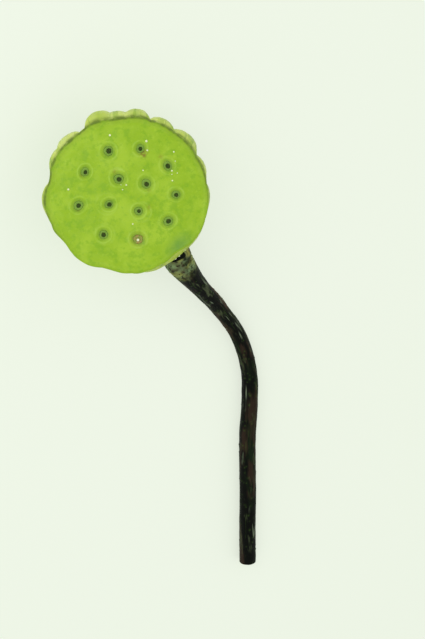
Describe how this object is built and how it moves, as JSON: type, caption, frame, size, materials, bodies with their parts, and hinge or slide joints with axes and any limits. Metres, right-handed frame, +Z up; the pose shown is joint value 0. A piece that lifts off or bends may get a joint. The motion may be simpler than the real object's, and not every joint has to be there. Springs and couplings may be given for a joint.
{
  "type": "lotus seed pod with stem",
  "caption": "Fresh green lotus seed pod lying on its side: a lobed cup with a flat pitted face, nutlets seated in its pockets, and a bent, cut stalk.",
  "frame": {"origin": "under the middle of the pod's box, on the surface that it lies on", "axes": "+Z up; Y along the pod's length, with the head towards +Y and the stalk's cut end towards -Y; X across"},
  "size_m": [0.1624, 0.3, 0.0767],
  "materials": {
    "flesh": "smooth, waxy, slightly translucent green flesh",
    "stalk": "dark, finely prickled rind with pale scratches",
    "nutlet": "smooth green rind with a dry black tip"
  },
  "bodies": {
    "root": {"receptacle": "flesh", "stem": "stalk", "seed_01": "nutlet", "seed_02": "nutlet", "seed_03": "nutlet", "seed_04": "nutlet", "seed_05": "nutlet", "seed_06": "nutlet", "seed_07": "nutlet", "seed_08": "nutlet", "seed_09": "nutlet", "seed_10": "nutlet", "seed_11": "nutlet", "seed_12": "nutlet", "seed_13": "nutlet"}
  },
  "joints": []
}
